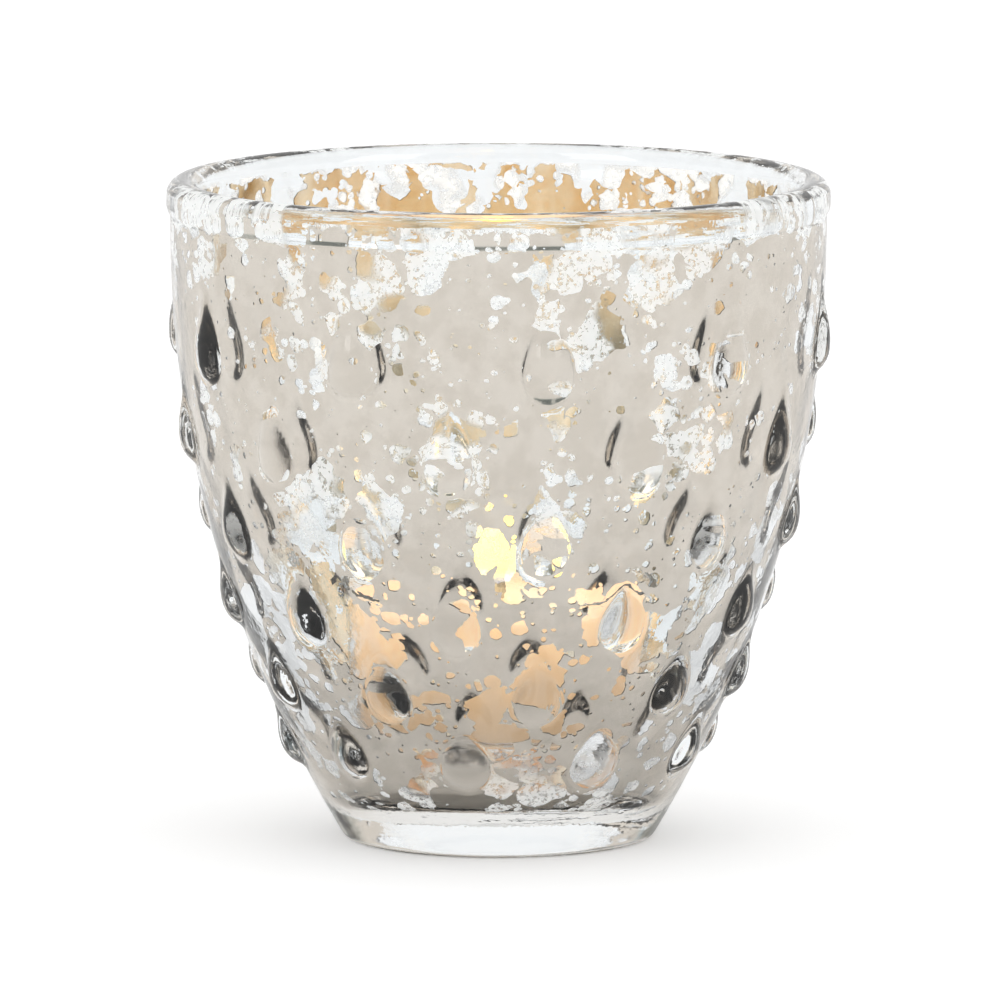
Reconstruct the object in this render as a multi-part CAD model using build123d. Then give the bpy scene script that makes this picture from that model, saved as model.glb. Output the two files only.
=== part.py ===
"""Glass tealight holder with its tealight: one STEP file per sub-part.

The holder is a pressed glass cup, wide at the rim and narrow at the foot, with six rows of
raised teardrops outside. Its smooth inside carries a mirror film, and a tinted lacquer over
that film. A standard tealight sits in the narrowing bowl: a clear cup with a plug of wax,
and a wick held by a stamped tab.

Frame: millimetres, +Z up, origin at the centre of the face that the foot stands on.
Every part is round about Z, apart from the teardrops and the leaning tip of the wick.
"""

import math
import os

from build123d import *

os.makedirs("parts", exist_ok=True)

# ---- Cup: overall sizes ----
cup_height = 80.0
rim_radius = 40.0  # outside of the rim bead, the widest part of the cup
foot_radius = 18.6  # where the wall's curve would meet the table
wall_fullness = 2.15  # power of the outer curve: higher is fuller at the waist

# ---- Cup: rim bead, wall, floor and foot ----
bead_height = 4.2
bead_step = 0.45  # how far the bead stands proud of the wall under it
rim_wall = 3.5  # glass thickness just under the bead
foot_wall = 11.0  # thickness that the wall would reach at the table
thickening = 3.0  # power of the wall's growth towards the foot
floor_thickness = 7.0
bowl_fillet = 6.0  # rounding between the inside wall and the floor
foot_fillet = 1.5
punt_radius = 13.0  # shallow hollow under the foot, which leaves a ring to stand on
punt_depth = 0.6

# ---- Cup: teardrops ----
drops_per_row = 10
drop_rows = 6
top_drop_margin = 6.8  # from the bead's lower edge down to the points of the top row
bottom_drop_margin = 9.2  # from the table up to the round ends of the bottom row
row_shrink = 0.93  # height of each row as a share of the row above
front_drop_angle = 9.0  # of the top row, from the front (-Y) towards +X, in degrees
drop_width = 5.9
drop_rise = 1.4  # how far a teardrop's round end stands out of the wall
drop_sink = 2.4  # how deep its turning axis lies under the wall's face
drop_fullness = 0.41  # how far along its tail a teardrop stays full
drop_slimness = 0.53  # where along its tail it has almost sunk into the wall

# ---- Lining ----
film_thickness = 0.15
lacquer_thickness = 0.15
lining_drop = 2.2  # from the top of the rim down to the lining's upper edge

# ---- Tealight cup ----
candle_base_radius = 18.2
candle_flare = 0.7  # how much wider the tealight is at its lip than at its base
candle_cup_height = 16.0
candle_cup_wall = 0.5
candle_cup_floor = 0.5
candle_cup_fillet = 0.5
lip_width = 0.5
lip_thickness = 0.6
seat_clearance = 0.3  # between the tealight's base edge and the lining, measured level

# ---- Wax, wick and wick tab ----
wax_clearance = 0.2  # round the wax, inside the tealight cup
cast_clearance = 0.05  # between the wax and what is cast into it
wax_below_lip = 2.0
pool_radius = 15.0
pool_depth = 0.7
pool_slope = 1.4  # how far the pool's edge runs in on its way down
wick_radius = 0.7
wick_above_wax = 6.0
wick_lean = 50.0  # degrees that the free tip bends over
wick_bend_radius = 3.5
tab_radius = 7.5
tab_thickness = 0.3
neck_height = 3.0
neck_wall = 0.35
neck_clearance = 0.05

# ---- How the shapes are made ----
curve_steps = 12  # spans of each wall curve
cutter_overrun = 5.0  # how far a cutting solid runs past what it cuts
fillet_share = 0.48  # of the wall beside it, the most that a fillet takes
seat_tolerance = 1e-6
front = -90.0  # angle of the front, from +X

# ---- Worked out from the sizes above ----
shoulder_height = cup_height - bead_height  # where the bead meets the wall
shoulder_radius = rim_radius - bead_step
lining_top = cup_height - lining_drop
lining_thickness = film_thickness + lacquer_thickness
candle_top_radius = candle_base_radius + candle_flare
row_span = shoulder_height - top_drop_margin - bottom_drop_margin
top_row_height = row_span * (1 - row_shrink) / (1 - row_shrink**drop_rows)


def height_share(z):
    """1 at the table, 0 at the shoulder and above it."""
    return max(0.0, 1.0 - z / shoulder_height)


def outer_radius(z):
    """Radius of the cup's outside wall, without its teardrops."""
    return shoulder_radius - (shoulder_radius - foot_radius) * height_share(z) ** wall_fullness


def inner_radius(z):
    """Radius of the cup's inside wall."""
    thickness = rim_wall + (foot_wall - rim_wall) * height_share(z) ** thickening
    return outer_radius(z) - thickness


def height_of_inner_radius(radius):
    """Height at which the inside wall has this radius, by halving."""
    low, high = floor_thickness, shoulder_height
    while high - low > seat_tolerance:
        middle = (low + high) / 2
        if inner_radius(middle) < radius:
            low = middle
        else:
            high = middle
    return high


seat_height = height_of_inner_radius(candle_base_radius + lining_thickness + seat_clearance)
wax_bottom = seat_height + candle_cup_floor
wax_top = seat_height + candle_cup_height - wax_below_lip


def wall_curve(radius_at, low, high):
    """Smooth curve up a wall, from its low end to its high end."""
    rise = (high - low) / curve_steps
    heights = [low + i * rise for i in range(curve_steps + 1)]
    return Spline(*[(radius_at(z), z) for z in heights])


def turned(outline):
    """Solid turned about Z from an outline's edges, drawn as (radius, height)."""
    return revolve(Plane.XZ * make_face(outline), Axis.Z)


def turned_points(*points):
    """Solid turned about Z from straight lines through (radius, height) points."""
    return turned(Polyline(*points, close=True))


def disc(radius, bottom, thickness):
    """Upright cylinder on Z, from its bottom face up."""
    return Pos(0, 0, bottom) * extrude(Circle(radius), thickness)


def rings(shape):
    """A turned solid's circular edges, lowest first."""
    return shape.edges().filter_by(GeomType.CIRCLE).sort_by(Axis.Z)


# ---- Cup ----
def cup_blank():
    """The cup's outside as one solid turning, with its bead and punt."""
    bead_low = shoulder_height + bead_step
    outline = [
        Line((0, punt_depth), (punt_radius - punt_depth, punt_depth)),
        Line((punt_radius - punt_depth, punt_depth), (punt_radius, 0)),
        Line((punt_radius, 0), (foot_radius, 0)),
        wall_curve(outer_radius, 0, shoulder_height),
        Line((shoulder_radius, shoulder_height), (rim_radius, bead_low)),
        Line((rim_radius, bead_low), (rim_radius, cup_height)),
        Line((rim_radius, cup_height), (0, cup_height)),
        Line((0, cup_height), (0, punt_depth)),
    ]
    blank = turned(outline)
    foot_edge = rings(blank).group_by(Axis.Z)[0].sort_by(SortBy.LENGTH)[-1]
    return fillet(foot_edge, min(foot_fillet, fillet_share * (foot_radius - punt_radius)))


def cavity(inset, top):
    """The space inside the cup, up to height top, with its wall and floor moved in by inset."""
    floor = floor_thickness + inset
    mouth = inner_radius(shoulder_height) - inset
    outline = [
        Line((0, floor), (inner_radius(floor) - inset, floor)),
        wall_curve(lambda z: inner_radius(z) - inset, floor, shoulder_height),
        Line((mouth, shoulder_height), (mouth, top)),
        Line((mouth, top), (0, top)),
        Line((0, top), (0, floor)),
    ]
    space = turned(outline)
    return fillet(rings(space)[0], bowl_fillet - inset)


def teardrop(length):
    """A solid teardrop turned about its own length, with its point towards +X."""
    tail = length - drop_width / 2
    body_radius = drop_sink + drop_rise
    outline = [
        RadiusArc((-body_radius, 0), (0, body_radius), body_radius),
        Bezier(
            (0, body_radius),
            (drop_fullness * tail, body_radius),
            (drop_slimness * tail, drop_sink),
            (tail, drop_sink),
        ),
        Line((tail, drop_sink), (tail, 0)),
        Line((tail, 0), (-body_radius, 0)),
    ]
    return revolve(make_face(outline), Axis.X)


def drop_ring(bottom, top, angle):
    """One ring of teardrops, lying along the wall between two heights."""
    run = outer_radius(top) - outer_radius(bottom)
    length = math.hypot(run, top - bottom)
    slope = Vector(run / length, 0, (top - bottom) / length)
    centre_height = bottom + drop_width / 2 * slope.Z
    wall = Plane(origin=(outer_radius(centre_height), 0, centre_height), x_dir=slope, z_dir=(0, -1, 0))
    drop = wall * Pos(0, drop_sink, 0) * teardrop(length)
    step = 360.0 / drops_per_row
    return [Rotation(0, 0, front + angle + i * step) * drop for i in range(drops_per_row)]


def glass_cup():
    """The pressed cup: blank, teardrops, then the hollow and a rounded rim."""
    drops = []
    top = shoulder_height - top_drop_margin
    for row in range(drop_rows):
        bottom = top - top_row_height * row_shrink**row
        half_step = 180.0 / drops_per_row * (row % 2)
        drops += drop_ring(bottom, top, front_drop_angle - half_step)
        top = bottom
    cup = cup_blank().fuse(*drops) - cavity(0, cup_height + cutter_overrun)
    rim_thickness = rim_radius - inner_radius(shoulder_height)
    return fillet(rings(cup).group_by(Axis.Z)[-1], fillet_share * rim_thickness)


# ---- Lining ----
def silver_film():
    """The mirror film on the glass."""
    return cavity(0, lining_top) - cavity(film_thickness, lining_top)


def amber_lacquer():
    """The tinted coat that covers the film's back."""
    return cavity(film_thickness, lining_top) - cavity(lining_thickness, lining_top)


# ---- Tealight ----
def candle_radius(height):
    """Outside radius of the tealight cup, this far above its base."""
    return candle_base_radius + candle_flare * height / candle_cup_height


def tealight_cup():
    """Thin clear cup with a flat lip, at its seat in the bowl."""
    shell = turned_points(
        (0, 0),
        (candle_base_radius, 0),
        (candle_top_radius, candle_cup_height),
        (0, candle_cup_height),
    )
    shell = fillet(rings(shell)[0], candle_cup_fillet)
    lip = disc(candle_top_radius + lip_width, candle_cup_height - lip_thickness, lip_thickness)
    hollow = turned_points(
        (0, candle_cup_floor),
        (candle_radius(candle_cup_floor) - candle_cup_wall, candle_cup_floor),
        (candle_top_radius - candle_cup_wall, candle_cup_height),
        (0, candle_cup_height),
    )
    return Pos(0, 0, seat_height) * (shell + lip - hollow)


def wax():
    """The plug of wax with a dished pool on top, cast round the wick and its tab."""
    gap = candle_cup_wall + wax_clearance
    plug = turned_points(
        (0, wax_bottom),
        (candle_radius(candle_cup_floor) - gap, wax_bottom),
        (candle_radius(candle_cup_height - wax_below_lip) - gap, wax_top),
        (0, wax_top),
    )
    pool = turned_points(
        (0, wax_top - pool_depth),
        (pool_radius - pool_slope, wax_top - pool_depth),
        (pool_radius, wax_top),
        (0, wax_top),
    )
    neck_radius = wick_radius + neck_clearance + neck_wall
    tab_pocket = disc(tab_radius + cast_clearance, wax_bottom, tab_thickness + cast_clearance)
    neck_bore = disc(neck_radius + cast_clearance, wax_bottom, neck_height + cast_clearance)
    wick_bore = disc(wick_radius + cast_clearance, wax_bottom, candle_cup_height)
    return plug - pool - tab_pocket - neck_bore - wick_bore


def wick():
    """Round wick, upright through the wax, its tip bent over."""
    foot = (0, 0, wax_bottom + tab_thickness)
    bend = (0, 0, wax_top - pool_depth + wick_above_wax - wick_bend_radius)
    lean = math.radians(wick_lean)
    across = wick_bend_radius * (1 - math.cos(lean))
    up = wick_bend_radius * math.sin(lean)
    path = Line(foot, bend) + TangentArc(bend, (across, 0, bend[2] + up), tangent=(0, 0, 1))
    return sweep(Plane(origin=foot) * Circle(wick_radius), path=path)


def wick_tab():
    """Stamped metal disc under the wax, with a neck that grips the wick."""
    neck_inner = wick_radius + neck_clearance
    neck_outer = neck_inner + neck_wall
    tab = turned_points(
        (0, 0),
        (tab_radius, 0),
        (tab_radius, tab_thickness),
        (neck_outer, tab_thickness),
        (neck_outer, neck_height),
        (neck_inner, neck_height),
        (neck_inner, tab_thickness),
        (0, tab_thickness),
    )
    return Pos(0, 0, wax_bottom) * tab


for make_part in (glass_cup, silver_film, amber_lacquer, tealight_cup, wax, wick, wick_tab):
    export_step(make_part(), f"parts/{make_part.__name__}.step")
print(f"tealight base at {seat_height:.2f} mm, wax surface at {wax_top - pool_depth:.2f} mm")
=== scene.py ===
import math

import bmesh
import bpy
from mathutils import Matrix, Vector


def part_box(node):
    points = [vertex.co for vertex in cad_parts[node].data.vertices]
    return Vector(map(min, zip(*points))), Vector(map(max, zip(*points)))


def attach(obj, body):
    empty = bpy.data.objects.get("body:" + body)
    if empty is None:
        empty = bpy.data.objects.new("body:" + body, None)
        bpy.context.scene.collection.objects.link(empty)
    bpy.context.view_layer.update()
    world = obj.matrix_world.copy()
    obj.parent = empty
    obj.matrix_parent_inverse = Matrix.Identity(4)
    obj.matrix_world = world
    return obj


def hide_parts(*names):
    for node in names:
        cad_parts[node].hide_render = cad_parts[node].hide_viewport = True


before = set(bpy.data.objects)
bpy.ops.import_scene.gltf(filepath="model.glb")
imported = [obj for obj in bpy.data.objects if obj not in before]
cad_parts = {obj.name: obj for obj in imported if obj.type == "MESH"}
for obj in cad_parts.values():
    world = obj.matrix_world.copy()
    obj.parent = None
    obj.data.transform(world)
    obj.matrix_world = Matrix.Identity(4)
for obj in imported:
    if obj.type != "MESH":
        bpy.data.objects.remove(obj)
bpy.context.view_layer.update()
mm = 0.001
scene = bpy.context.scene
print("frame loaded:", sorted(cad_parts))


def corners(node):
    low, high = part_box(node)
    return Vector(low), Vector(high)


def softCorner(before, corner, after, cut, steps=5):
    # points round a corner of an outline, cut back by the same length on both sides
    before, corner, after = Vector(before), Vector(corner), Vector(after)
    start = corner + (before - corner).normalized() * cut
    end = corner + (after - corner).normalized() * cut
    points = []
    for i in range(steps + 1):
        t = i / steps
        points.append(tuple(start * (1 - t) ** 2 + corner * 2 * t * (1 - t) + end * t * t))
    return points


def roundedOutline(points, cuts, steps=5):
    # an outline of (radius, height) points with each inner corner rounded by its own cut
    outline = [points[0]]
    for i in range(1, len(points) - 1):
        if cuts[i - 1]:
            outline += softCorner(points[i - 1], points[i], points[i + 1], cuts[i - 1], steps)
        else:
            outline.append(points[i])
    return outline + [points[-1]]


def turnedPiece(name, outline, segments, shift=None, closed=False):
    # turns (radius, height) points about Z; shift(radius, height, angle) may move each point
    bm = bmesh.new()
    rings = []
    for radius, height in outline:
        if radius < 1e-7:  # on the axis, where a ring is one point
            rings.append([bm.verts.new((0, 0, height))])
            continue
        ring = []
        for i in range(segments):
            angle = 2 * math.pi * i / segments
            r, z = shift(radius, height, angle) if shift else (radius, height)
            ring.append(bm.verts.new((r * math.sin(angle), -r * math.cos(angle), z)))
        rings.append(ring)
    pairs = list(zip(rings, rings[1:]))
    if closed:
        pairs.append((rings[-1], rings[0]))
    for low, high in pairs:
        for i in range(segments):
            j = (i + 1) % segments
            if len(low) == 1 and len(high) == 1:
                continue
            if len(low) == 1:
                bm.faces.new((low[0], high[j], high[i]))
            elif len(high) == 1:
                bm.faces.new((low[i], low[j], high[0]))
            else:
                bm.faces.new((low[i], low[j], high[j], high[i]))
    return finishMesh(name, bm)


def finishMesh(name, bm):
    bmesh.ops.recalc_face_normals(bm, faces=bm.faces)
    mesh = bpy.data.meshes.new(name)
    bm.to_mesh(mesh)
    bm.free()
    for face in mesh.polygons:
        face.use_smooth = True
    piece = bpy.data.objects.new(name, mesh)
    scene.collection.objects.link(piece)
    return piece


def place(piece, body, material, replaces=None):
    piece.data.materials.append(material)
    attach(piece, body)
    if replaces:
        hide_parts(replaces)


def addNode(tree, kind, inputs=None, **settings):
    node = tree.nodes.new(kind)
    for key, value in settings.items():
        setattr(node, key, value)
    for key, value in (inputs or {}).items():
        if isinstance(value, bpy.types.NodeSocket):
            tree.links.new(value, node.inputs[key])
        else:
            node.inputs[key].default_value = value
    return node


def maths(tree, operation, a, b=0.0):
    return addNode(tree, "ShaderNodeMath", {0: a, 1: b}, operation=operation).outputs[0]


def vectorMaths(tree, operation, inputs):
    return addNode(tree, "ShaderNodeVectorMath", inputs, operation=operation).outputs[0]


def noise(tree, vector, scale, detail, roughness=0.5):
    inputs = {"Vector": vector, "Scale": scale, "Detail": detail, "Roughness": roughness}
    return addNode(tree, "ShaderNodeTexNoise", inputs)


def objectPlace(tree):
    return addNode(tree, "ShaderNodeTexCoord").outputs["Object"]


def heightOf(tree, vector):
    return addNode(tree, "ShaderNodeSeparateXYZ", {0: vector}).outputs["Z"]


def bumpFrom(tree, shader, height, distance, strength=1.0):
    bump = addNode(tree, "ShaderNodeBump", {"Height": height, "Distance": distance, "Strength": strength})
    tree.links.new(bump.outputs[0], shader.inputs["Normal"])


def ramp(tree, value, low, high, outLow=0.0, outHigh=1.0, smooth=True):
    node = addNode(
        tree,
        "ShaderNodeMapRange",
        {"Value": value, "From Min": low, "From Max": high, "To Min": outLow, "To Max": outHigh},
        interpolation_type="SMOOTHSTEP" if smooth else "LINEAR",
    )
    return node.outputs["Result"]


def mixColours(tree, factor, a, b, blend="MIX"):
    inputs = {"Factor": factor, "A": a, "B": b}
    node = addNode(tree, "ShaderNodeMix", inputs, data_type="RGBA", blend_type=blend)
    return node.outputs["Result"]


def newMaterial(name, **values):
    material = bpy.data.materials.new(name)
    material.use_nodes = True
    tree = material.node_tree
    shader = tree.nodes["Principled BSDF"]
    for key, value in values.items():
        shader.inputs[key.replace("_", " ")].default_value = value
    return material, tree, shader


def newGroup(name, inputs, outputs):
    group = bpy.data.node_groups.new(name, "ShaderNodeTree")
    for label, value in inputs.items():
        socket = group.interface.new_socket(name=label, in_out="INPUT", socket_type="NodeSocketFloat")
        socket.default_value = value
    for label in outputs:
        group.interface.new_socket(name=label, in_out="OUTPUT", socket_type="NodeSocketFloat")
    return group, group.nodes.new("NodeGroupInput"), group.nodes.new("NodeGroupOutput")


def useGroup(tree, group, **values):
    node = tree.nodes.new("ShaderNodeGroup")
    node.node_tree = group
    for key, value in values.items():
        node.inputs[key.replace("_", " ")].default_value = value
    return node


# how the mirror coat has worn: metres, noise scales per metre, and where each effect starts and ends
wear = dict(
    edgeHeight=0.0774,
    edgeRaggedness=0.0016,
    candleHeight=0.026,
    warpScale=800.0,
    warpReach=0.0007,
    everywhere=0.24,
    inPatches=0.62,
    nearRim=0.16,
    atRim=0.30,
    nearCandle=0.24,
    patchScale=85.0,
    patchRange=(0.42, 0.60),
    nearRimRange=(0.058, 0.074),
    atRimRange=(0.0735, 0.0765),
    candleReach=(0.008, 0.020),
    # each size of hole: cells per metre, then the least and the most radius as a share of a cell
    holes=((165.0, -0.45, 0.86), (270.0, -0.30, 0.86), (450.0, -0.25, 0.86), (950.0, -0.35, 0.70)),
    raggedScale=420.0,
    cloudScale=260.0,
    crinkleScale=1500.0,
    crinkleRange=(0.32, 0.52),
    hazeScale=190.0,
    hazeRange=(0.40, 0.52),
)


def makeWornCoat():
    # Coat is 1 where the mirror is whole and 0 in its holes; Frost is the pale haze left in some of them,
    # which the coats also give a painted glow
    group, given, result = newGroup(
        "Worn coat",
        {
            "Hole Amount": 1.0,
            "Edge Height": wear["edgeHeight"],
            "Edge Raggedness": wear["edgeRaggedness"],
            "Candle Height": wear["candleHeight"],
        },
        ["Coat", "Frost", "Cloud"],
    )
    place3d = objectPlace(group)
    height = heightOf(group, place3d)
    warp = noise(group, place3d, wear["warpScale"], 1.5).outputs["Color"]
    warp = vectorMaths(group, "SUBTRACT", {0: warp, 1: (0.5, 0.5, 0.5)})
    warp = vectorMaths(group, "SCALE", {0: warp, "Scale": wear["warpReach"]})
    warped = vectorMaths(group, "ADD", {0: place3d, 1: warp})

    # where holes crowd together: in patches, under the rim and round the candle
    patches = noise(group, place3d, wear["patchScale"], 3.0, 0.6).outputs["Fac"]
    patches = ramp(group, patches, *wear["patchRange"])
    nearRim = ramp(group, height, *wear["nearRimRange"])
    atRim = ramp(group, height, *wear["atRimRange"])
    offCandle = maths(group, "ABSOLUTE", maths(group, "SUBTRACT", height, given.outputs["Candle Height"]))
    nearCandle = ramp(group, offCandle, *wear["candleReach"], 1.0, 0.0)
    crowd = wear["everywhere"]
    for mask, share in (
        (patches, wear["inPatches"]),
        (nearRim, wear["nearRim"]),
        (atRim, wear["atRim"]),
        (nearCandle, wear["nearCandle"]),
    ):
        crowd = maths(group, "ADD", crowd, maths(group, "MULTIPLY", mask, share))
    crowd = maths(group, "MULTIPLY", crowd, given.outputs["Hole Amount"])

    # round holes of several sizes, which run together where they crowd
    bare = None
    for scale, least, most in wear["holes"]:
        cells = addNode(group, "ShaderNodeTexVoronoi", {"Vector": warped, "Scale": scale, "Randomness": 1.0})
        chance = addNode(group, "ShaderNodeSeparateColor", {0: cells.outputs["Color"]}).outputs[0]
        size = maths(group, "MULTIPLY", ramp(group, chance, 0.0, 1.0, least, most, smooth=False), crowd)
        here = maths(group, "GREATER_THAN", size, cells.outputs["Distance"])
        bare = here if bare is None else maths(group, "MAXIMUM", bare, here)

    # the coat's ragged upper edge
    ragged = noise(group, place3d, wear["raggedScale"], 4.0, 0.65).outputs["Fac"]
    ragged = maths(group, "SUBTRACT", ragged, 0.5)
    drop = maths(group, "MULTIPLY", ragged, given.outputs["Edge Raggedness"])
    edge = maths(group, "ADD", given.outputs["Edge Height"], maths(group, "MULTIPLY", drop, 2.0))
    bare = maths(group, "MAXIMUM", bare, maths(group, "GREATER_THAN", height, edge))

    cloud = noise(group, place3d, wear["cloudScale"], 4.0, 0.6).outputs["Fac"]
    crinkle = noise(group, warped, wear["crinkleScale"], 3.0, 0.7).outputs["Fac"]
    hazy = noise(group, place3d, wear["hazeScale"], 1.0).outputs["Fac"]
    frost = maths(
        group, "MULTIPLY", ramp(group, crinkle, *wear["crinkleRange"]), ramp(group, hazy, *wear["hazeRange"])
    )
    frost = maths(group, "MULTIPLY", frost, bare)
    frost = maths(group, "MULTIPLY", frost, maths(group, "SUBTRACT", 1.0, nearCandle))
    group.links.new(maths(group, "SUBTRACT", 1.0, bare), result.inputs["Coat"])
    group.links.new(frost, result.inputs["Frost"])
    group.links.new(cloud, result.inputs["Cloud"])
    return group


def makeFineGrain():
    # fine unevenness for glass, wax, plastic and metal: a value round 0.5 and a height for bump
    group, given, result = newGroup("Fine grain", {"Grain Size": 0.001, "Strength": 1.0}, ["Grain", "Height"])
    scale = maths(group, "DIVIDE", 1.0, given.outputs["Grain Size"])
    centred = maths(group, "SUBTRACT", noise(group, objectPlace(group), scale, 4.0, 0.6).outputs["Fac"], 0.5)
    centred = maths(group, "MULTIPLY", centred, given.outputs["Strength"])
    group.links.new(maths(group, "ADD", centred, 0.5), result.inputs["Grain"])
    group.links.new(centred, result.inputs["Height"])
    return group


wornCoat = makeWornCoat()
fineGrain = makeFineGrain()
print("shared node groups built")


def glassMaterial():
    look = dict(
        tint=(0.945, 0.972, 0.986, 1), ior=1.5, rippleSize=0.006, ripple=0.00006,
        grainRange=(0.45, 0.8), roughness=(0.0, 0.012),
    )
    material, tree, shader = newMaterial(
        "Clear pressed glass", Base_Color=look["tint"], Transmission_Weight=1.0, IOR=look["ior"]
    )
    grain = useGroup(tree, fineGrain, Grain_Size=look["rippleSize"])
    rough = ramp(tree, grain.outputs["Grain"], *look["grainRange"], *look["roughness"])
    tree.links.new(rough, shader.inputs["Roughness"])
    bumpFrom(tree, shader, grain.outputs["Height"], look["ripple"])
    return material


silverCoat = dict(
    name="Worn silver film", pale=(0.76, 0.69, 0.61, 1), dark=(0.69, 0.62, 0.54, 1),
    roughness=(0.05, 0.13), haze=0.85,
)
goldCoat = dict(
    name="Worn gold lacquer", pale=(0.97, 0.86, 0.69, 1), dark=(0.92, 0.76, 0.54, 1),
    roughness=(0.08, 0.18), haze=0.35,
)
# the frost's glow is painted light: emission on the haze that stands in for light shining through it
frost = dict(colour=(0.98, 0.975, 0.96, 1), glow=0.42, roughness=0.4)
clouding = dict(shadeRange=(0.38, 0.64), roughRange=(0.3, 0.7))


def coatMaterial(look):
    # the same worn pattern serves both coats, so their holes line up
    material, tree, shader = newMaterial(look["name"], Emission_Strength=frost["glow"])
    worn = useGroup(tree, wornCoat)
    coat, haze, cloud = worn.outputs["Coat"], worn.outputs["Frost"], worn.outputs["Cloud"]
    shade = mixColours(tree, ramp(tree, cloud, *clouding["shadeRange"]), look["dark"], look["pale"])
    tree.links.new(mixColours(tree, coat, frost["colour"], shade), shader.inputs["Base Color"])
    tree.links.new(coat, shader.inputs["Metallic"])
    # painted glow: the haze is given emission to stand in for light coming through it from behind, so it
    # glows a little
    tree.links.new(mixColours(tree, haze, (0, 0, 0, 1), frost["colour"]), shader.inputs["Emission Color"])
    smooth = ramp(tree, cloud, *clouding["roughRange"], *look["roughness"])
    inHoles = maths(tree, "MULTIPLY", maths(tree, "SUBTRACT", 1.0, coat), frost["roughness"])
    tree.links.new(maths(tree, "ADD", smooth, inHoles), shader.inputs["Roughness"])
    left = maths(tree, "MULTIPLY", haze, look["haze"])
    tree.links.new(maths(tree, "ADD", coat, left), shader.inputs["Alpha"])
    return material


def clearPlasticMaterial():
    look = dict(
        tint=(0.97, 0.975, 0.97, 1), ior=1.45, grainSize=0.003, grainRange=(0.3, 0.7), roughness=(0.03, 0.10)
    )
    material, tree, shader = newMaterial(
        "Clear candle cup", Base_Color=look["tint"], Transmission_Weight=1.0, IOR=look["ior"]
    )
    grain = useGroup(tree, fineGrain, Grain_Size=look["grainSize"])
    rough = ramp(tree, grain.outputs["Grain"], *look["grainRange"], *look["roughness"])
    tree.links.new(rough, shader.inputs["Roughness"])
    return material


def waxMaterial():
    look = dict(
        wax=(0.42, 0.35, 0.26, 1), melted=(0.38, 0.29, 0.19, 1), ior=1.44,
        glowNear=(1.0, 0.68, 0.36, 1), glowFar=(1.0, 0.63, 0.33, 1), glow=0.95, glowAtBottom=0.45,
        nearWick=(0.003, 0.019), grainSize=0.0035, grainRange=(0.2, 0.8), glowUneven=(0.85, 1.1),
        roughness=(0.45, 0.12), bump=0.0002, bumpStrength=0.5,
    )
    material, tree, shader = newMaterial("Warm wax", IOR=look["ior"], Emission_Strength=look["glow"])
    parts = addNode(tree, "ShaderNodeSeparateXYZ", {0: objectPlace(tree)}).outputs
    squares = [maths(tree, "POWER", parts[axis], 2.0) for axis in ("X", "Y")]
    fromAxis = maths(tree, "SQRT", maths(tree, "ADD", *squares))
    near = ramp(tree, fromAxis, *look["nearWick"], 1.0, 0.0)
    grain = useGroup(tree, fineGrain, Grain_Size=look["grainSize"])
    tree.links.new(mixColours(tree, near, look["wax"], look["melted"]), shader.inputs["Base Color"])
    # painted glow: the wax's emission stands in for the flame lighting it from above, so it fades towards the
    # bottom
    glow = mixColours(tree, near, look["glowFar"], look["glowNear"])
    lowest, highest = corners("wax")
    lit = ramp(tree, parts["Z"], lowest.z, highest.z, look["glowAtBottom"], 1.0)
    uneven = ramp(tree, grain.outputs["Grain"], *look["grainRange"], *look["glowUneven"])
    lit = maths(tree, "MULTIPLY", lit, uneven)
    tree.links.new(mixColours(tree, 1.0, glow, lit, blend="MULTIPLY"), shader.inputs["Emission Color"])
    tree.links.new(ramp(tree, near, 0.0, 1.0, *look["roughness"]), shader.inputs["Roughness"])
    bumpFrom(tree, shader, grain.outputs["Height"], look["bump"], look["bumpStrength"])
    return material


def wickMaterial():
    look = dict(
        cotton=(0.80, 0.74, 0.62, 1), char=(0.012, 0.010, 0.009, 1), roughness=0.85, strand=0.0009,
        charUneven=0.004, charFrom=0.0045, charTo=0.0030, bump=0.0003,
    )
    material, tree, shader = newMaterial("Braided wick", Roughness=look["roughness"])
    tip = corners("wick")[1].z
    grain = useGroup(tree, fineGrain, Grain_Size=look["strand"])
    uneven = maths(tree, "MULTIPLY", grain.outputs["Height"], look["charUneven"])
    height = maths(tree, "ADD", heightOf(tree, objectPlace(tree)), uneven)
    burnt = ramp(tree, height, tip - look["charFrom"], tip - look["charTo"])
    tree.links.new(mixColours(tree, burnt, look["cotton"], look["char"]), shader.inputs["Base Color"])
    bumpFrom(tree, shader, grain.outputs["Height"], look["bump"])
    return material


def tabMaterial():
    look = dict(tin=(0.62, 0.62, 0.60, 1), grainSize=0.0008, grainRange=(0.2, 0.8), roughness=(0.25, 0.5))
    material, tree, shader = newMaterial("Tinned wick tab", Base_Color=look["tin"], Metallic=1.0)
    grain = useGroup(tree, fineGrain, Grain_Size=look["grainSize"])
    rough = ramp(tree, grain.outputs["Grain"], *look["grainRange"], *look["roughness"])
    tree.links.new(rough, shader.inputs["Roughness"])
    return material


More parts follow.
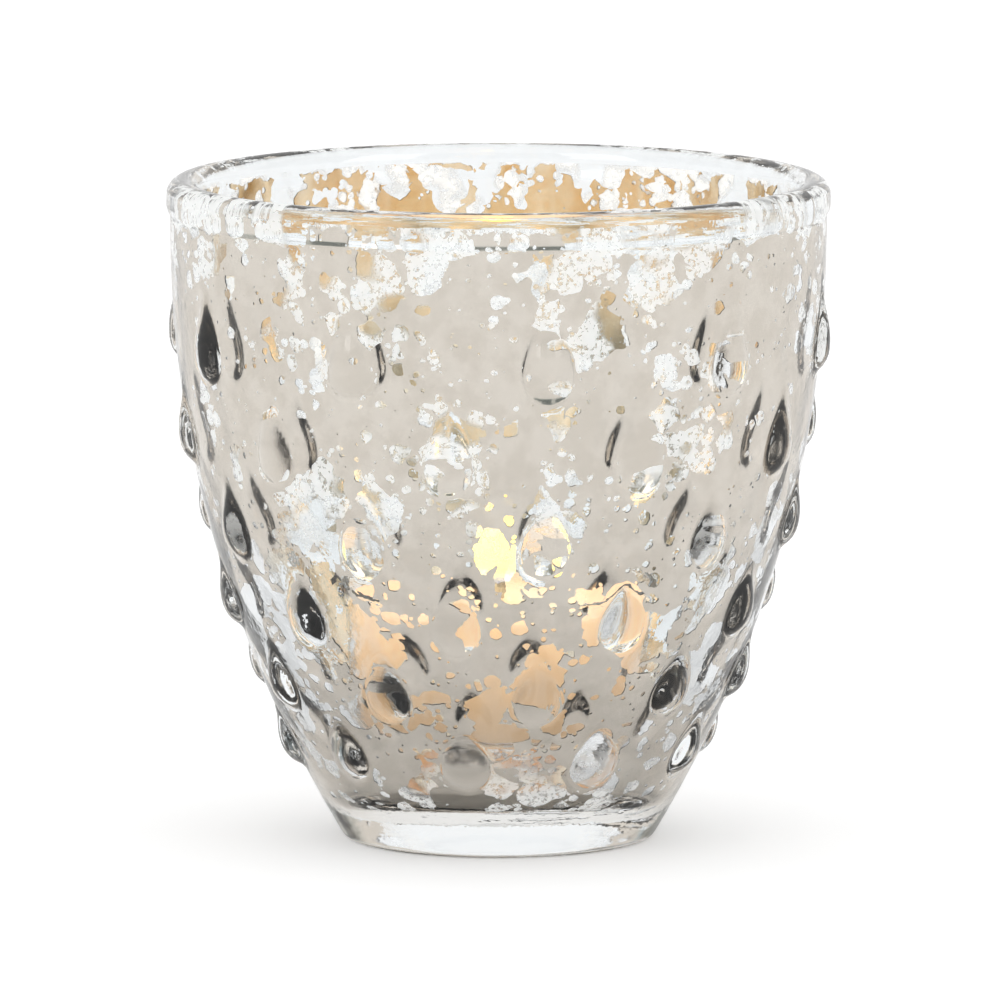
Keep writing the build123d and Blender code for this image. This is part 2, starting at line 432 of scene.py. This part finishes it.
def flameMaterial():
    # every range is a share of the flame's height, followed by the values at its two ends
    look = dict(
        hot=(1.0, 0.76, 0.17, 1), edge=(1.0, 0.52, 0.09, 1), blue=(0.20, 0.35, 0.9, 1), strength=3.6,
        edgeRange=(0.35, 1.0), blueRange=(0.0, 0.18, 0.6, 0.0),
        solidBelow=(0.0, 0.22, 0.2, 0.9), solidAbove=(0.7, 1.0, 1.0, 0.3),
    )
    material, tree, shader = newMaterial(
        "Flame", Base_Color=(0, 0, 0, 1), Roughness=1.0, Specular_IOR_Level=0.0,
        Emission_Strength=look["strength"],
    )
    height = heightOf(tree, addNode(tree, "ShaderNodeTexCoord").outputs["Generated"])
    body = mixColours(tree, ramp(tree, height, *look["edgeRange"]), look["hot"], look["edge"])
    body = mixColours(tree, ramp(tree, height, *look["blueRange"]), body, look["blue"])
    tree.links.new(body, shader.inputs["Emission Color"])
    solid = maths(
        tree, "MULTIPLY", ramp(tree, height, *look["solidBelow"]), ramp(tree, height, *look["solidAbove"])
    )
    tree.links.new(solid, shader.inputs["Alpha"])
    return material


glassLook = glassMaterial()
filmLook = coatMaterial(silverCoat)
lacquerLook = coatMaterial(goldCoat)
print("materials built")

cupHigh = corners("glass_cup")[1]
cup = dict(
    height=cupHigh.z,
    rimRadius=cupHigh.x,
    footRadius=18.6 * mm,
    fullness=2.15,
    beadHeight=4.2 * mm,
    beadStep=0.45 * mm,
    beadFoot=0.5 * mm,
    rimWall=3.5 * mm,
    footWall=11.0 * mm,
    thickening=3.0,
    floorHeight=7.0 * mm,
    bowlCut=2.8 * mm,
    bowlTurn=2.3 * mm,
    footCut=1.0 * mm,
    footLift=1.2 * mm,
    puntRadius=13.0 * mm,
    puntDepth=0.6 * mm,
    puntCut=0.35 * mm,
    ringCut=0.3 * mm,
    segments=560,
    wallRings=108,
    rimSteps=16,
)
drops = dict(
    perRow=10,
    rows=6,
    topMargin=6.8 * mm,
    bottomMargin=9.2 * mm,
    shrink=0.93,
    frontAngle=math.radians(9.0),
    width=5.9 * mm,
    rise=1.4 * mm,
    sink=2.4 * mm,
    fullness=0.41,
    slimness=0.53,
    blend=0.16 * mm,
    overlap=0.6 * mm,
    halvings=22,
)
shoulder = cup["height"] - cup["beadHeight"]
shoulderRadius = cup["rimRadius"] - cup["beadStep"]


def outerRadius(z):
    share = max(0.0, 1 - z / shoulder)
    return shoulderRadius - (shoulderRadius - cup["footRadius"]) * share ** cup["fullness"]


def innerRadius(z):
    share = max(0.0, 1 - z / shoulder)
    return outerRadius(z) - cup["rimWall"] - (cup["footWall"] - cup["rimWall"]) * share ** cup["thickening"]


def dropRows():
    # lowest and highest point of each row, with its turn from the front, top row first
    top = shoulder - drops["topMargin"]
    span = top - drops["bottomMargin"]
    first = span * (1 - drops["shrink"]) / (1 - drops["shrink"] ** drops["rows"])
    rows = []
    for i in range(drops["rows"]):
        bottom = top - first * drops["shrink"] ** i
        rows.append((bottom, top, drops["frontAngle"] - math.pi / drops["perRow"] * (i % 2)))
        top = bottom
    return rows


def tailRadius(along, tail):
    # half-thickness of a teardrop behind its round end: a curve with four control points
    full = drops["sink"] + drops["rise"]
    xs = (0, drops["fullness"] * tail, drops["slimness"] * tail, tail)
    ys = (full, full, drops["sink"], drops["sink"])
    low, high = 0.0, 1.0
    for _ in range(drops["halvings"]):
        t = (low + high) / 2
        x = 3 * xs[1] * t * (1 - t) ** 2 + 3 * xs[2] * t * t * (1 - t) + xs[3] * t ** 3
        low, high = (t, high) if x < along else (low, t)
    return ys[0] * (1 - t) ** 3 + 3 * ys[1] * t * (1 - t) ** 2 + 3 * ys[2] * t * t * (1 - t) + ys[3] * t ** 3


def wallNormal(z):
    step = 0.1 * mm
    rise = Vector((outerRadius(z + step) - outerRadius(z - step), 2 * step)).normalized()
    return Vector((rise.y, -rise.x))


def profileSquared(z):
    # square of the teardrop's half-thickness at this height, its row's turn, or None between rows
    for bottom, top, turn in dropRows():
        if bottom - drops["overlap"] <= z < top:
            run = outerRadius(top) - outerRadius(bottom)
            length = math.hypot(run, top - bottom)
            upShare = (top - bottom) / length
            along = (z - bottom) / upShare - drops["width"] / 2
            full = drops["sink"] + drops["rise"]
            if along < 0:
                return max(0.0, full ** 2 - along ** 2), turn
            return tailRadius(along, length - drops["width"] / 2) ** 2, turn
    return None


def dropShift():
    # a function that moves a wall point out to the teardrops' surface
    known = {}
    tolerance, keepOff = 0.01 * mm, 1 * mm

    def shift(radius, height, angle):
        if height not in known:
            onWall = abs(radius - outerRadius(height)) < tolerance and height < shoulder - keepOff
            known[height] = (profileSquared(height) if onWall else None, wallNormal(height))
        found, normal = known[height]
        if found is None:
            return radius, height
        squared, turn = found
        step = 2 * math.pi / drops["perRow"]
        across = radius * ((angle - turn + step / 2) % step - step / 2)
        rise = math.sqrt(max(0.0, squared - across ** 2)) - drops["sink"]
        flat = math.sqrt(drops["sink"] ** 2 + drops["blend"] ** 2) - drops["sink"]
        rise = (rise + math.sqrt(rise ** 2 + drops["blend"] ** 2) - flat) / 2
        return radius + normal.x * rise, height + normal.y * rise

    return shift


def outerWall():
    low, high = cup["footLift"], shoulder - cup["beadFoot"]
    heights = [low + (high - low) * i / cup["wallRings"] for i in range(cup["wallRings"] + 1)]
    return [(outerRadius(z), z) for z in heights]


def innerWall(inset, floor, top, steps=20):
    # down the inside from the top, round the bowl's corner and across the floor
    turnEnd = floor + cup["bowlTurn"]
    points = []
    for i in range(steps + 1):
        z = top + (turnEnd - top) * i / steps
        points.append((innerRadius(z) - inset, z))
    corner = (innerRadius(floor) - inset, floor)
    cornerPoints = softCorner(points[-1], corner, (0, floor), cup["bowlCut"], 7)
    clear = cornerPoints[0][1] + 0.2 * mm  # wall points below this would crowd the corner
    kept = [p for p in points if p[1] > clear]
    return kept + cornerPoints + [(corner[0] * share, floor) for share in (0.6, 0.3)] + [(0, floor)]


def footOutline():
    # the hollow under the foot, the ring that the cup stands on and the foot's rounded edge
    depth = cup["puntDepth"]
    middle, slope = (cup["puntRadius"] * 0.5, depth), (cup["puntRadius"] - depth, depth)
    ring, edge = (cup["puntRadius"], 0), (cup["footRadius"], 0)
    wallStart = (outerRadius(cup["footLift"]), cup["footLift"])
    points = [(0, depth), middle]
    points += softCorner(middle, slope, ring, cup["puntCut"], 3)
    points += softCorner(slope, ring, edge, cup["ringCut"], 3)
    return points + softCorner(ring, edge, wallStart, cup["footCut"], 6)


def rimOutline(roll):
    # the bead's small step out, then a half circle over to the inside
    rim, steps = cup["rimRadius"], cup["rimSteps"]
    points = [
        (shoulderRadius + 0.04 * mm, shoulder),
        (rim - 0.12 * mm, shoulder + cup["beadFoot"]),
        (rim, shoulder + 1.1 * mm),
    ]
    for i in range(1, steps):
        turn = math.pi * i / steps
        points.append((rim - roll + roll * math.cos(turn), cup["height"] - roll + roll * math.sin(turn)))
    return points


def buildCup():
    roll = (cup["rimRadius"] - innerRadius(shoulder)) / 2
    outline = footOutline() + outerWall() + rimOutline(roll)
    outline += innerWall(0, cup["floorHeight"], cup["height"] - roll - 0.3 * mm)
    return turnedPiece("glassCup", outline, cup["segments"], dropShift())


place(buildCup(), "holder", glassLook, "glass_cup")
print("glass cup built")

# each coat is a single sheet: the film just within the glass, the lacquer just off its inner face
lining = dict(intoGlass=0.05 * mm, offGlass=0.06 * mm, topDrop=2.2 * mm, segments=192, steps=60)


def buildCoat(name, inset):
    outline = innerWall(inset, cup["floorHeight"] + inset, cup["height"] - lining["topDrop"], lining["steps"])
    return turnedPiece(name, outline, lining["segments"])


place(buildCoat("silverFilm", -lining["intoGlass"]), "holder", filmLook, "silver_film")
place(buildCoat("goldLacquer", lining["offGlass"]), "holder", lacquerLook, "amber_lacquer")
print("lining built")

candleLow, candleHigh = corners("tealight_cup")
waxLow, waxHigh = corners("wax")
wickLow, wickHigh = corners("wick")
tabLow, tabHigh = corners("wick_tab")
fit = dict(clearance=0.05 * mm, tabSheet=0.3 * mm, segments=160)


def buildCandleCup():
    candle = dict(
        wall=0.5 * mm, lipWidth=0.5 * mm, lipThickness=0.6 * mm, flare=0.7 * mm,
        baseCut=0.7 * mm, edgeCut=0.15 * mm, lipCut=0.2 * mm, insideCut=0.4 * mm,
    )
    low, high = candleLow.z, candleHigh.z
    lip = candleHigh.x
    top = lip - candle["lipWidth"]
    base = top - candle["flare"]
    wall = candle["wall"]
    underLip = high - candle["lipThickness"]
    outline = roundedOutline(
        [
            (0, low), (base, low), (top, underLip), (lip, underLip),
            (lip, high), (top - wall, high), (base - wall, low + wall), (0, low + wall),
        ],
        [
            candle["baseCut"], candle["edgeCut"], candle["lipCut"],
            candle["lipCut"], candle["edgeCut"], candle["insideCut"],
        ],
    )
    return turnedPiece("candleCup", outline, fit["segments"])


wick = dict(
    radius=0.7 * mm, bend=3.5 * mm, lean=math.radians(50), strands=6, strandDepth=0.1 * mm, twist=1.4 * mm,
    steps=90, around=36, tipFrom=0.97, tipShare=0.75,
)
wax = dict(
    poolRadius=15.0 * mm, poolDepth=0.7 * mm, poolShore=1.4 * mm, baseTaper=0.6 * mm, edgeWander=0.22 * mm,
    wanderDepth=1.2 * mm, wanderOut=1.5 * mm, wanderIn=6.0 * mm,
)


def buildWax():
    low, high = waxLow.z, waxHigh.z
    radius, poolRadius = waxHigh.x, wax["poolRadius"]
    pool = high - wax["poolDepth"]
    bore = wick["radius"] + fit["clearance"]
    tabBore, tabTop = tabHigh.x + fit["clearance"], low + fit["tabSheet"]
    # from the hollow for the tab, up the side, over the rim, across the pool and down the wick's bore
    outline = roundedOutline(
        [
            (0, tabTop), (bore, tabTop), (tabBore, tabTop), (tabBore, low),
            (radius - wax["baseTaper"], low), (radius, high), (poolRadius, high),
            (poolRadius - wax["poolShore"], pool), (5 * mm, pool + 0.02 * mm), (1.6 * mm, pool + 0.08 * mm),
            (bore, pool + 0.35 * mm), (bore, low + 0.6 * mm), (0, low + 0.6 * mm),
        ],
        [0, 0, 0, 0.5 * mm, 0.5 * mm, 0.4 * mm, 0.6 * mm, 1.0 * mm, 0.3 * mm, 0, 0],
    )

    def meltedEdge(r, z, angle):
        # the pool's edge wanders a little, as melted wax does
        if z < high - wax["wanderDepth"] or r > poolRadius + wax["wanderOut"] or r < wax["wanderIn"]:
            return r, z
        return r + wax["edgeWander"] * (math.sin(3 * angle + 0.6) + 0.6 * math.sin(7 * angle + 2.0)), z

    # the bore runs right through, so the two points on the axis are left out
    return turnedPiece("waxPlug", outline[1:-1], fit["segments"], meltedEdge, closed=True)


def wickCentre(run, upright):
    # the line that the wick follows, upright and then bent over: its point and its tilt after this run
    straight = upright - wickLow.z
    if run < straight:
        return Vector((0, 0, wickLow.z + run)), 0.0
    bend = wick["bend"]
    tilt = (run - straight) / bend
    return Vector((bend * (1 - math.cos(tilt)), 0, upright + bend * math.sin(tilt))), tilt


def buildWick():
    # strands twisted round the wick's line
    radius, around, depth = wick["radius"], wick["around"], wick["strandDepth"]
    bend, lean = wick["bend"], wick["lean"]
    upright = wickHigh.z - bend * math.sin(lean) - radius * math.sin(lean) * 0.9
    total = upright - wickLow.z + bend * lean
    bm = bmesh.new()
    rings = []
    for i in range(wick["steps"] + 1):
        t = i / wick["steps"]
        run = total * t
        centre, tilt = wickCentre(run, upright)
        side = Vector((math.cos(tilt), 0, -math.sin(tilt)))
        ring = []
        for j in range(around):
            turn = 2 * math.pi * j / around
            braid = abs(math.sin(wick["strands"] / 2 * (turn + run / wick["twist"]))) * depth
            thick = radius - depth + braid
            if t > wick["tipFrom"]:
                thick *= wick["tipShare"]
            sideways = Vector((0, thick * math.sin(turn), 0))
            ring.append(bm.verts.new(centre + side * thick * math.cos(turn) + sideways))
        rings.append(ring)
    for low, high in zip(rings, rings[1:]):
        for j in range(around):
            k = (j + 1) % around
            bm.faces.new((low[j], low[k], high[k], high[j]))
    bm.faces.new(list(reversed(rings[0])))
    bm.faces.new(rings[-1])
    return finishMesh("braidedWick", bm)


def buildTab():
    tab = dict(neckWall=0.35 * mm, edgeCut=0.1 * mm, neckFoot=0.3 * mm, neckCut=0.12 * mm, segments=96)
    low, high = tabLow.z, tabHigh.z
    sheet = low + fit["tabSheet"]
    neck = wick["radius"] + fit["clearance"]
    outline = roundedOutline(
        [
            (0, low), (tabHigh.x, low), (tabHigh.x, sheet), (neck + tab["neckWall"], sheet),
            (neck + tab["neckWall"], high), (neck, high), (neck, sheet), (0, sheet),
        ],
        [tab["edgeCut"], tab["edgeCut"], tab["neckFoot"], tab["neckCut"], tab["neckCut"], 0],
    )
    return turnedPiece("wickTab", outline, tab["segments"])


def buildFlame():
    # a tall drop of light that stands on the wick's tip
    flame = dict(
        below=3.6 * mm, height=13.5 * mm, width=6.4 * mm, swell=0.62, roundness=0.9, taper=0.25,
        steps=40, segments=64,
    )
    bottom = wickHigh.z - flame["below"]
    outline = [(0, bottom)]
    for i in range(1, flame["steps"]):
        t = i / flame["steps"]
        share = math.sin(math.pi * t ** flame["swell"]) ** flame["roundness"] * (1 - flame["taper"] * t)
        outline.append((flame["width"] / 2 * share, bottom + flame["height"] * t))
    outline.append((0, bottom + flame["height"]))
    return turnedPiece("flame", outline, flame["segments"])


place(buildCandleCup(), "tealight", clearPlasticMaterial(), "tealight_cup")
place(buildWax(), "candle", waxMaterial(), "wax")
place(buildWick(), "candle", wickMaterial(), "wick")
place(buildTab(), "candle", tabMaterial(), "wick_tab")
place(buildFlame(), "candle", flameMaterial())
print("tealight built")


def buildFloor():
    ground = dict(size=6.0, drop=0.02 * mm, paint=(0.97, 0.97, 0.97, 1), roughness=0.9, glow=0.20)
    bm = bmesh.new()
    bmesh.ops.create_grid(bm, x_segments=8, y_segments=8, size=ground["size"] / 2)
    floor = finishMesh("floor", bm)
    floor.location.z = -ground["drop"]
    material, tree, shader = newMaterial(
        "Pale floor", Base_Color=ground["paint"], Roughness=ground["roughness"],
        Specular_IOR_Level=0.0, Emission_Color=(1, 1, 1, 1),
    )
    # seen directly, the floor glows a little, so that it stays white round a soft shadow
    seen = addNode(tree, "ShaderNodeLightPath").outputs["Is Camera Ray"]
    tree.links.new(maths(tree, "MULTIPLY", seen, ground["glow"]), shader.inputs["Emission Strength"])
    floor.data.materials.append(material)


def buildStudio():
    # an even white room; what shines also meets darker panels and two bright ones,
    # which draw the glass's edges
    studio = dict(
        level=1.0, panel=0.22, bright=2.5, low=0.16, high=0.72, softLow=0.06, softHigh=0.08,
        turnFrom=1.75, turnTo=2.15, windows=(-0.75, 0.85), windowEdge=(0.22, 0.28),
        strips=13.0, stripEdge=(0.80, 0.95), stripBright=0.45, tint=(0.80, 1.0, 0.98, 1),
    )
    world = bpy.data.worlds.new("Studio")
    scene.world = world
    world.use_nodes = True
    tree = world.node_tree
    tree.nodes.clear()
    direction = addNode(tree, "ShaderNodeTexCoord").outputs["Generated"]
    parts = addNode(tree, "ShaderNodeSeparateXYZ", {0: direction}).outputs
    up, low, high = parts["Z"], studio["low"], studio["high"]
    above = ramp(tree, up, low, low + studio["softLow"])
    below = ramp(tree, up, high, high + studio["softHigh"], 1.0, 0.0)
    around = maths(tree, "ARCTAN2", parts["X"], maths(tree, "MULTIPLY", parts["Y"], -1.0))
    towardsFront = ramp(tree, maths(tree, "ABSOLUTE", around), studio["turnFrom"], studio["turnTo"], 1.0, 0.0)
    band = maths(tree, "MULTIPLY", maths(tree, "MULTIPLY", above, below), towardsFront)
    shine = None
    for angle in studio["windows"]:
        near = maths(tree, "ABSOLUTE", maths(tree, "SUBTRACT", around, angle))
        window = maths(tree, "MULTIPLY", ramp(tree, near, *studio["windowEdge"], 1.0, 0.0), band)
        shine = window if shine is None else maths(tree, "MAXIMUM", shine, window)
    # thin bright strips between the dark panels
    wave = maths(tree, "SINE", maths(tree, "MULTIPLY", around, studio["strips"]))
    strips = maths(tree, "MULTIPLY", ramp(tree, wave, *studio["stripEdge"]), band)
    level = studio["level"]
    for mask, change in (
        (band, studio["panel"] - studio["level"]),
        (shine, studio["bright"] - studio["panel"]),
        (strips, studio["stripBright"]),
    ):
        level = maths(tree, "ADD", level, maths(tree, "MULTIPLY", mask, change))
    # the camera and matt surfaces meet plain white
    path = addNode(tree, "ShaderNodeLightPath").outputs
    plain = maths(tree, "MAXIMUM", path["Is Camera Ray"], path["Is Diffuse Ray"])
    strength = maths(tree, "ADD", maths(tree, "MULTIPLY", level, maths(tree, "SUBTRACT", 1.0, plain)), plain)
    tone = mixColours(tree, maths(tree, "MAXIMUM", level, plain), studio["tint"], (1, 1, 1, 1))
    back = addNode(tree, "ShaderNodeBackground", {"Color": tone, "Strength": strength})
    out = addNode(tree, "ShaderNodeOutputWorld")
    tree.links.new(back.outputs[0], out.inputs["Surface"])


def addCamera():
    view = dict(distance=1700 * mm, height=271 * mm, aimX=0.18 * mm, aimZ=40.84 * mm, across=120.6 * mm)
    camera = bpy.data.cameras.new("camera")
    rig = bpy.data.objects.new("camera", camera)
    scene.collection.objects.link(rig)
    rig.location = (view["aimX"], -view["distance"], view["height"])
    aim = Vector((view["aimX"], 0, view["aimZ"])) - rig.location
    rig.rotation_euler = aim.to_track_quat("-Z", "Y").to_euler()
    camera.sensor_width = 36
    camera.lens = camera.sensor_width * aim.length / view["across"]
    camera.clip_end = 20
    scene.camera = rig


buildFloor()
buildStudio()
addCamera()
scene.view_settings.view_transform = "Standard"
print("floor, studio and camera ready")
